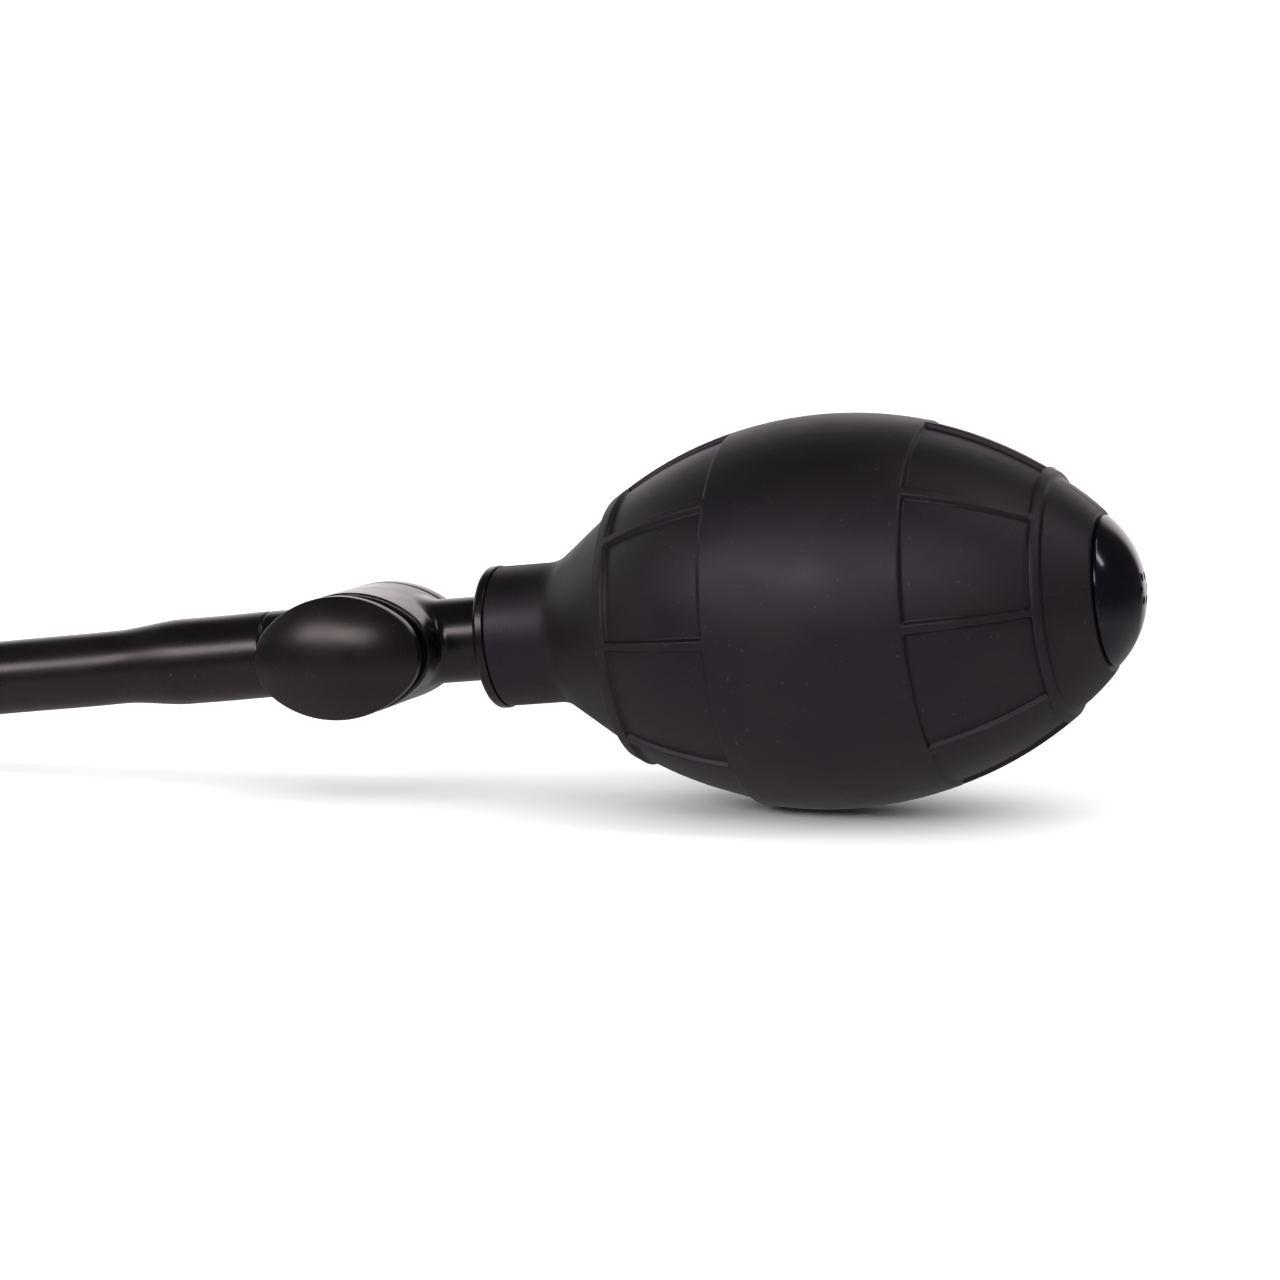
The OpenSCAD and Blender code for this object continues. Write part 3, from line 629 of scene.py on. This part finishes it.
def make_bulb():
    outline = bulb_outline()
    columns = bulb_columns()
    off_rib = np.abs((columns - RIB_TURN + SECTOR / 2) % SECTOR - SECTOR / 2)
    rib_fall = eased((off_rib - RIB_HALF) / RIB_EDGE)
    seam = np.abs((columns - PARTING_TURN + 90) % 180 - 90)  # at the top and the bottom
    turn = np.radians(columns)
    rings = []
    outside = True
    for x, r in outline:
        if x >= MOUTH_X - 0.01:
            outside = False
        sunk = np.zeros(len(columns))
        if outside:
            # The panels step down gently beside the rim and sharply at their other edges
            for lo, hi, ease in ((RIM_END, BELLY_LO, RIM_EASE), (BELLY_HI, RING_X, PANEL_EDGE)):
                if lo < x < hi:
                    fall = eased((x - lo) / ease) * eased((hi - x) / PANEL_EDGE)
                    sunk = PANEL_DEPTH * fall * rib_fall
            if x < RIM_X - 0.6 or x > RING_END + 0.4:
                width = math.degrees(PARTING_WIDTH / r)
                sunk = sunk - PARTING_H * np.exp(-((seam / width) ** 2))
        radius = r - sunk
        rings.append(
            np.stack([np.full(len(turn), x), -radius * np.cos(turn), radius * np.sin(turn)], 1)
        )
    verts = local(np.concatenate(rings))
    faces = skin(len(rings), len(columns), looped=True)
    return make_piece("bulb_skin", verts, faces, "bulb_rubber", "body", ["bulb"], sharp=BULB_SHARP)


# ---- end cap ----

CAP_R, CAP_X, CAP_RIM, DOME_H = 9.8, 82.85, 0.4, 4.3
CAP_PLUG_X, CAP_PLUG_R, CAP_PLUG_BORE_R = 75, 7.8, 6.4
CAP_CROWN_T = 1.4
VENT_R, VENT_CIRCLE_R, VENTS = 0.5, 1.8, 6
VENT_CHAMFER, VENT_FLARE = 0.1, 1  # depth below the dome, and how far the cutter widens


def make_cap():
    dome_r = (CAP_R**2 + DOME_H**2) / (2 * DOME_H)
    tip = CAP_X + CAP_RIM + DOME_H
    centre = tip - dome_r
    edge = math.degrees(math.asin(CAP_R / dome_r))
    dome = arc(centre, 0, dome_r, 0, edge, 40)
    outline = [
        (dome[0][0], 0), *dome[1:-1], (*dome[-1], 0.3), (CAP_X, CAP_R, 0.2),
        (CAP_X, CAP_PLUG_R), (80.5, CAP_PLUG_R), (80.2, CAP_PLUG_R + BEAD_H),
        (79.6, CAP_PLUG_R + BEAD_H), (79.1, CAP_PLUG_R), (CAP_PLUG_X, CAP_PLUG_R, 0.2),
        (CAP_PLUG_X, CAP_PLUG_BORE_R, 0.2), (83.5, CAP_PLUG_BORE_R), (84.8, 4.4),
        (tip - CAP_CROWN_T, 2.6), (tip - CAP_CROWN_T, 0),
    ]
    verts, faces = lathe(fillet(outline, looped=False), 144, looped=False)
    outward = [f[::-1] for f in faces]
    piece = make_piece("cap", verts, outward, "gloss_plastic", "body", ["end_cap"])
    face_x = centre + math.sqrt(dome_r**2 - VENT_CIRCLE_R**2)
    flare_x = face_x - VENT_CHAMFER
    shape = [
        (tip - 3, 0), (tip - 3, VENT_R), (flare_x, VENT_R),
        (flare_x + VENT_FLARE, VENT_R + VENT_FLARE), (flare_x + VENT_FLARE, 0),
    ]
    holes = []
    for k in range(VENTS):
        a = math.radians(360 / VENTS * k)
        cy, cz = -VENT_CIRCLE_R * math.cos(a), VENT_CIRCLE_R * math.sin(a)
        verts, faces = lathe(shape, 24, looped=False)
        shift = np.array(AXIS_Y) * cy * MM + np.array(AXIS_Z) * cz * MM
        holes.append(cutter(verts + shift, faces))
    cut(piece, holes)
    paint(piece.data, "polished_plastic")  # the same plastic, with a higher shine


# ---- neck adapter ----

FLANGE_X, FLANGE_R, FLANGE_ROUND = -1.5, 9.62, 1.0
PLUG_R, PLUG_END, PLUG_BEVEL = 6.35, 13.5, 0.5
SOCKET_R, SOCKET_END = 4.3, 5.5
AIRWAY_R, WEB_END, PLUG_BORE_R = 2.2, 7.5, 5.0


def make_adapter():
    outline = [
        (FLANGE_X, SOCKET_R, 0.15), (FLANGE_X, FLANGE_R, FLANGE_ROUND), (0, FLANGE_R, 0.15),
        (0, PLUG_R), (6.5, PLUG_R), (6.8, PLUG_R + BEAD_H), (7.6, PLUG_R + BEAD_H),
        (8.1, PLUG_R), (PLUG_END - PLUG_BEVEL, PLUG_R), (PLUG_END, PLUG_R - PLUG_BEVEL),
        (PLUG_END, PLUG_BORE_R), (WEB_END, PLUG_BORE_R), (WEB_END, AIRWAY_R),
        (SOCKET_END, AIRWAY_R), (SOCKET_END, SOCKET_R),
    ]
    verts, faces = lathe(fillet(outline))
    make_piece("adapter", verts, faces, "gloss_plastic", "body", ["neck_adapter"])


# ---- release valve ----

DRUM_X = -19.2
DRUM_A, DRUM_B, DRUM_END_R = 11.7, 8.3, 6.2
DRUM_WALL = 1.5
DRUM_FRONT, DRUM_BACK = -9.5, 4.0
COVER_BACK, COVER_ROUND = 8.4, 2.4
NECK_SPIGOT_R, HOSE_SPIGOT_R = 5.7, 5.9
SPIGOT_FILLET = 1.1
SPIGOT_END = -1.9  # where the neck spigot runs into the adapter
DRUM_ROUND = 0.35
VOXEL = 0.24 * MM
SKIN_REACH = 0.3  # how near the drawn surface a point must be to be laid on it
SHOULDER_KEPT = 0.4  # length of the hose spigot beside its shoulder that stays as it is
SKIN_PASSES, SLOPE_STEP, SLOPE_LEAST = 6, 1e-3, 0.05
VALVE_SHARP = 50
OVAL_SIDES = 160
OVAL_FINE, OVAL_REACH, OVAL_HALVINGS = 720, 30.0, 40  # directions, and the search along them


def oval_distance(x, z, inset=0.0):
    """Distance outside the drum's oval, made of four arcs, at points from its centre."""
    a, b, er = DRUM_A - inset, DRUM_B - inset, DRUM_END_R - inset
    x, z = np.abs(x), np.abs(z)
    end_x = a - er
    side_r = (end_x**2 + b * b - er * er) / (2 * (b - er))
    way = (end_x, side_r - b)
    at_end = way[0] * z - way[1] * (x - end_x) < 0
    return np.where(
        at_end, np.hypot(x - end_x, z) - er, np.hypot(x, z + side_r - b) - side_r
    )


def oval_points(count, inset=0.0):
    """Evenly turned points (x, z) on the oval about its centre."""
    turn = np.linspace(0, 2 * math.pi, OVAL_FINE + 1)[:-1]
    lo, hi = np.zeros(OVAL_FINE), np.full(OVAL_FINE, OVAL_REACH)
    for _ in range(OVAL_HALVINGS):
        mid = (lo + hi) / 2
        out = oval_distance(mid * np.cos(turn), mid * np.sin(turn), inset) > 0
        lo, hi = np.where(out, lo, mid), np.where(out, mid, hi)
    x, z = lo * np.cos(turn), lo * np.sin(turn)
    closed = np.stack([np.append(x, x[0]), np.append(z, z[0])], 1)
    run = np.concatenate([[0], np.cumsum(np.linalg.norm(np.diff(closed, axis=0), axis=1))])
    even = np.linspace(0, run[-1], count, endpoint=False)
    return np.stack([np.interp(even, run, closed[:, k]) for k in range(2)], 1)


def oval_rings(stations):
    """Rings of points along y: (y, inset) ovals, or (y, "round", r) circles, about the drum."""
    base = np.arctan2(*oval_points(OVAL_SIDES).T[::-1])
    rings = []
    for s in stations:
        if s[1] == "round":
            x, z = s[2] * np.cos(base), s[2] * np.sin(base)
        else:
            x, z = oval_points(OVAL_SIDES, s[1]).T
        rings.append(np.stack([DRUM_X + x, np.full(OVAL_SIDES, s[0]), z], 1))
    return rings


def close_loft(rings, start, end):
    """Vertices and faces of rings along y, closed on the drum's axis at either end."""
    count = len(rings[0])
    verts = np.vstack([*rings, [[DRUM_X, start, 0]], [[DRUM_X, end, 0]]])
    n = len(rings) * count
    faces = skin(len(rings), count, first_pole=n, last_pole=n + 1)
    return local(verts), faces


def valve_distance(p):
    """Signed distances at points (n, 3): of the drum with its spigots filleted on, of the drum
    alone and of the spigots alone."""
    x, y, z = p.T
    across = oval_distance(x - DRUM_X, z) + DRUM_ROUND
    along = np.maximum(DRUM_FRONT - y, y - DRUM_BACK) + DRUM_ROUND
    drum = (
        np.minimum(np.maximum(across, along), 0)
        + np.hypot(np.maximum(across, 0), np.maximum(along, 0))
        - DRUM_ROUND
    )
    spigot_r = np.where(x > DRUM_X, NECK_SPIGOT_R, HOSE_SPIGOT_R)
    spigot = np.hypot(y, z) - spigot_r
    k = SPIGOT_FILLET
    u, v = np.maximum(k - drum, 0), np.maximum(k - spigot, 0)
    return np.maximum(k, np.minimum(drum, spigot)) - np.hypot(u, v), drum, spigot


def make_valve():
    """The CAD solid, remeshed evenly; its outside is then laid on the filleted surface."""
    piece = frame["nodes"]["valve_body"].copy()
    piece.data = piece.data.copy()
    for key in list(piece.keys()):
        del piece[key]
    piece.name = "valve"
    piece.parent = None
    scene.collection.objects.link(piece)
    remesh = piece.modifiers.new("remesh", "REMESH")
    remesh.mode, remesh.voxel_size = "VOXEL", VOXEL
    apply_modifiers(piece)
    co = np.zeros(len(piece.data.vertices) * 3)
    piece.data.vertices.foreach_get("co", co)
    p = to_local(co.reshape(-1, 3))
    _, drum, spigot = valve_distance(p)
    on_skin = np.abs(np.minimum(drum, spigot)) < SKIN_REACH
    on_skin &= (p[:, 0] > HOSE_X + SHOULDER_KEPT) & (p[:, 0] < SPIGOT_END)
    inside_oval = oval_distance(p[:, 0] - DRUM_X, p[:, 2]) < SKIN_REACH
    on_skin &= ~((p[:, 1] > DRUM_BACK - SKIN_REACH) & inside_oval)  # the back stays as it is
    q = p[on_skin]
    for _ in range(SKIN_PASSES):
        d = valve_distance(q)[0]
        slope = np.stack(
            [(valve_distance(q + SLOPE_STEP * e)[0] - d) / SLOPE_STEP for e in np.eye(3)], 1
        )
        q = q - slope * (d / np.maximum((slope**2).sum(1), SLOPE_LEAST))[:, None]
    p[on_skin] = q
    piece.data.vertices.foreach_set("co", local(p).ravel())
    piece.data.update()
    dress(piece, "gloss_plastic", "body", ["valve_body"], sharp=VALVE_SHARP)


COVER_LIP_Y, COVER_INSIDE = 3.05, COVER_BACK - 1
COVER_STEPS = 10
SLOTS_AT, SLOT_R, SLOT_STRAIGHT = (-2.6, 0, 2.6), 0.6, 1.9
SLOT_SIDES, SLOT_CUT = 32, (6.0, 9.5)  # the cut's reach along y


def make_cover():
    shell = [  # (y, inset) round the cover's rolled edge
        (COVER_BACK - COVER_ROUND * (1 - math.sin(a)), COVER_ROUND * (1 - math.cos(a)))
        for a in (math.radians(90 * i / COVER_STEPS) for i in range(COVER_STEPS + 1))
    ]
    lip = DRUM_WALL + 0.05
    hollow = lip + 1
    front = DRUM_BACK + 0.05
    stations = [
        (COVER_INSIDE, "round", 1.0), (COVER_INSIDE, hollow + 0.4), (COVER_BACK - 1.2, hollow),
        (COVER_LIP_Y, hollow), (COVER_LIP_Y, hollow + 0.02), (COVER_LIP_Y, lip), (front, lip),
        (front, 0.25), (front + 0.07, 0.08), (front + 0.25, 0.0), (front + 1.0, 0.0), *shell,
        (COVER_BACK, 3.2), (COVER_BACK, "round", 3.0), (COVER_BACK, "round", 1.0),
    ]
    verts, faces = close_loft(oval_rings(stations), COVER_INSIDE, COVER_BACK)
    piece = make_piece("cover", verts, faces, "gloss_plastic", "body", ["back_cover"])
    ends = np.radians(np.linspace(0, 360, SLOT_SIDES, endpoint=False))
    ring = SLOT_R * np.stack([np.cos(ends), np.sin(ends)], 1)
    ring[:, 1] += np.where(ring[:, 1] >= 0, SLOT_STRAIGHT, -SLOT_STRAIGHT)
    poles = {"first_pole": 2 * SLOT_SIDES, "last_pole": 2 * SLOT_SIDES + 1}
    slots = []
    for off_middle in SLOTS_AT:
        x = DRUM_X + off_middle
        layers = [
            np.stack([x + ring[:, 0], np.full(SLOT_SIDES, y), ring[:, 1]], 1) for y in SLOT_CUT
        ]
        verts = np.vstack([*layers, [[x, y, 0] for y in SLOT_CUT]])
        slots.append(cutter(local(verts), skin(2, SLOT_SIDES, **poles)))
    cut(piece, slots)


# ---- release button ----

BUTTON_BACK, BUTTON_EDGE, BUTTON_DOME = -12.7, 1.4, 3.4
BUTTON_ROUND = 0.16
SKIRT_INSET, SKIRT_WALL, SKIRT_END, SKIRT_BEVEL = 1.7, 1.2, -7.0, 0.2
BOSS_R, BOSS_END = 2.6, -10.2
STEM_HOLE_R, STEM_HOLE_END = 1.525, -12.9


def make_button():
    front = BUTTON_BACK - BUTTON_EDGE - BUTTON_DOME
    dome_r = (DRUM_B**2 + BUTTON_DOME**2) / (2 * BUTTON_DOME)
    outline = oval_points(OVAL_SIDES)
    turn = np.arctan2(outline[:, 1], outline[:, 0])

    def dome_y(x, z):
        stretched = np.hypot(x * DRUM_B / DRUM_A, z)
        return front + dome_r - np.sqrt(dome_r**2 - stretched**2)

    def ring(x, y, z):
        return np.stack([DRUM_X + x, np.broadcast_to(y, x.shape), z], 1)

    def inset_ring(inset, y):
        x, z = oval_points(OVAL_SIDES, inset).T
        return ring(x, y, z)

    rings = []
    for s in [*np.linspace(0.04, 0.94, 28), 0.965]:
        x, z = outline.T * s
        rings.append(ring(x, dome_y(x, z), z))
    for a in np.radians(np.linspace(0, 90, 6)):  # rolled edge between dome and side
        x, z = oval_points(OVAL_SIDES, BUTTON_ROUND * (1 - math.sin(a))).T
        rings.append(ring(x, dome_y(x, z) + BUTTON_ROUND * (1 - math.cos(a)), z))
    x, z = outline.T
    rings += [ring(x, BUTTON_BACK - y, z) for y in (0.35, 0.25)]
    for inset, rise in ((0.0, 0.18), (0.06, 0.06), (0.2, 0.0), (SKIRT_INSET, 0.0)):
        rings.append(inset_ring(inset, BUTTON_BACK - rise))
    skirt_inside, bevel_y = SKIRT_INSET + SKIRT_WALL, SKIRT_END - SKIRT_BEVEL
    rings += [
        inset_ring(SKIRT_INSET, bevel_y),
        inset_ring(SKIRT_INSET + SKIRT_BEVEL, SKIRT_END),
        inset_ring(skirt_inside - SKIRT_BEVEL, SKIRT_END),
        inset_ring(skirt_inside, bevel_y),
        inset_ring(skirt_inside, BUTTON_BACK),
    ]
    boss = (
        (BOSS_R, BUTTON_BACK), (BOSS_R, BOSS_END), (STEM_HOLE_R, BOSS_END),
        (STEM_HOLE_R, STEM_HOLE_END),
    )
    for r, y in boss:
        rings.append(ring(r * np.cos(turn), y, r * np.sin(turn)))
    verts, faces = close_loft(rings, front, STEM_HOLE_END)
    make_piece("button_shell", verts, faces, "satin_plastic", "button", ["release_button"])


bulb = make_bulb()
make_cap()
make_adapter()
make_valve()
make_cover()
make_button()


# ---- finishes of the CAD pieces that stay ----

for part in record["subparts"]:
    node = frame["nodes"][part["node"]]
    if node.hide_render:
        continue
    paint(node.data, part["material_slot"])
    smooth(node.data)


# ---- studio ----

STUDIO_X = 30  # point on the bulb's axis that the softboxes stand about and aim at

# Softboxes: width and height in metres, radiance, azimuth and elevation in degrees as the
# camera's, and distance in metres
SOFTBOXES = {
    "window": ((0.95, 0.27), 6.0, -23, 26, 1.0),
    "right_panel": ((0.13, 0.12), 3.4, 30, 30, 0.35),
    "left_panel": ((0.4, 0.5), 1.2, -106, 18, 1.0),
    "side_strip": ((0.06, 0.8), 10.0, 92, 52, 0.9),
}

# The world's brightness, and where its parts fade, by the direction looked in
WORLD_DIM, WORLD_BEHIND, WORLD_MOST = 0.05, 1.6, 2
WORLD_BELOW = (0.42, 0.36)  # in front and behind
WALL_STARTS_Y, WALL_RIGHT_X = (0.4, 0.9), (0.3, 0.46)
WALL_TOP_Z, WALL_FOOT_Z = (0.45, 0.75), (-0.3, -0.05)
BELOW_TOP_Z, BELOW_CHANGES_Y = (-0.35, -0.02), (-0.3, 0.7)
WORLD_TINT = (1, 0.94, 0.98)
BACKDROP = 1.05

FLOOR_HALF, FLOOR_DROP = 12.0, 0.05 * MM
FLOOR_LIGHT, FLOOR_LIGHT_SPREAD = 3.9, 150
PAPER = (0.86, 0.855, 0.85)


def softbox(name, size, radiance, azimuth, elevation, distance):
    """Rectangular area light aimed at the bulb."""
    a, e = math.radians(azimuth), math.radians(elevation)
    back = Vector((math.sin(a) * math.cos(e), -math.cos(a) * math.cos(e), math.sin(e)))
    data = bpy.data.lights.new(name, "AREA")
    data.shape = "RECTANGLE"
    data.size, data.size_y = size
    data.energy = radiance * math.pi * size[0] * size[1]
    light = bpy.data.objects.new(name, data)
    light.location = Vector(local([[STUDIO_X, 0, 0]])[0]) + back * distance
    light.rotation_mode = "QUATERNION"
    light.rotation_quaternion = back.to_track_quat("Z", "Y")
    scene.collection.objects.link(light)
    return light


def light_only(light, piece):
    """Keeps a light's rays for one piece."""
    lit = bpy.data.collections.new("lit_by_" + light.name)
    lit.objects.link(piece)
    light.light_linking.receiver_collection = lit


def make_floor():
    mesh = bpy.data.meshes.new("floor")
    corners = [(x * FLOOR_HALF, y * FLOOR_HALF, 0) for x, y in ((-1, -1), (1, -1), (1, 1), (-1, 1))]
    mesh.from_pydata(corners, [], [(0, 1, 2, 3)])
    floor = bpy.data.objects.new("floor", mesh)
    floor.location.z = -FLOOR_DROP
    floor.visible_glossy = False
    scene.collection.objects.link(floor)
    paper = bpy.data.materials.new("paper")
    paper.use_nodes = True
    shader = paper.node_tree.nodes["Principled BSDF"]
    shader.inputs["Base Color"].default_value = (*PAPER, 1)
    shader.inputs["Roughness"].default_value = 0.95
    shader.inputs["Specular IOR Level"].default_value = 0.1
    mesh.materials.append(paper)

    # The overhead light is for the floor alone, so that it stays pale to the horizon
    data = bpy.data.lights.new("overhead", "SUN")
    data.energy = FLOOR_LIGHT
    data.angle = math.radians(FLOOR_LIGHT_SPREAD)
    overhead = bpy.data.objects.new("overhead", data)
    scene.collection.objects.link(overhead)
    light_only(overhead, floor)


def make_world():
    """White to the camera. To the object: a pale wall behind it, pale below, dim elsewhere."""
    world = bpy.data.worlds.new("studio")
    world.use_nodes = True
    tree = world.node_tree
    way = tree.nodes.new("ShaderNodeSeparateXYZ")
    coords = tree.nodes.new("ShaderNodeTexCoord")
    tree.links.new(coords.outputs["Generated"], way.inputs["Vector"])
    x, y, z = (way.outputs[axis] for axis in "XYZ")

    def merge(operation, a, b):
        node = tree.nodes.new("ShaderNodeMath")
        node.operation = operation
        tree.links.new(a, node.inputs[0])
        tree.links.new(b, node.inputs[1])
        return node.outputs[0]

    wall = ranged(tree, y, *WALL_STARTS_Y, 0, WORLD_BEHIND)
    wall = merge("MULTIPLY", wall, ranged(tree, x, *WALL_RIGHT_X, 1, 0))
    wall = merge("MULTIPLY", wall, ranged(tree, z, *WALL_TOP_Z, 1, 0))
    wall = merge("MULTIPLY", wall, ranged(tree, z, *WALL_FOOT_Z, 0, 1))
    below = ranged(tree, z, *BELOW_TOP_Z, 1, 0)
    below = merge("MULTIPLY", below, ranged(tree, y, *BELOW_CHANGES_Y, *WORLD_BELOW))
    brightness = merge("MAXIMUM", wall, below)
    brightness = ranged(tree, brightness, WORLD_DIM, WORLD_MOST, WORLD_DIM, WORLD_MOST)
    glow = tree.nodes["Background"]
    glow.inputs["Color"].default_value = (*WORLD_TINT, 1)
    tree.links.new(brightness, glow.inputs["Strength"])
    backdrop = tree.nodes.new("ShaderNodeBackground")
    backdrop.inputs["Color"].default_value = (1, 1, 1, 1)
    backdrop.inputs["Strength"].default_value = BACKDROP
    seen = tree.nodes.new("ShaderNodeLightPath")
    choose = tree.nodes.new("ShaderNodeMixShader")
    tree.links.new(seen.outputs["Is Camera Ray"], choose.inputs["Fac"])
    tree.links.new(glow.outputs[0], choose.inputs[1])
    tree.links.new(backdrop.outputs[0], choose.inputs[2])
    tree.links.new(choose.outputs[0], tree.nodes["World Output"].inputs["Surface"])
    scene.world = world


make_floor()
make_world()
lights = {box_name: softbox(box_name, *facts) for box_name, facts in SOFTBOXES.items()}
light_only(lights["right_panel"], bulb)  # it stays off the cap and the valve
scene.view_settings.view_transform = "Standard"
scene.view_settings.look = "None"
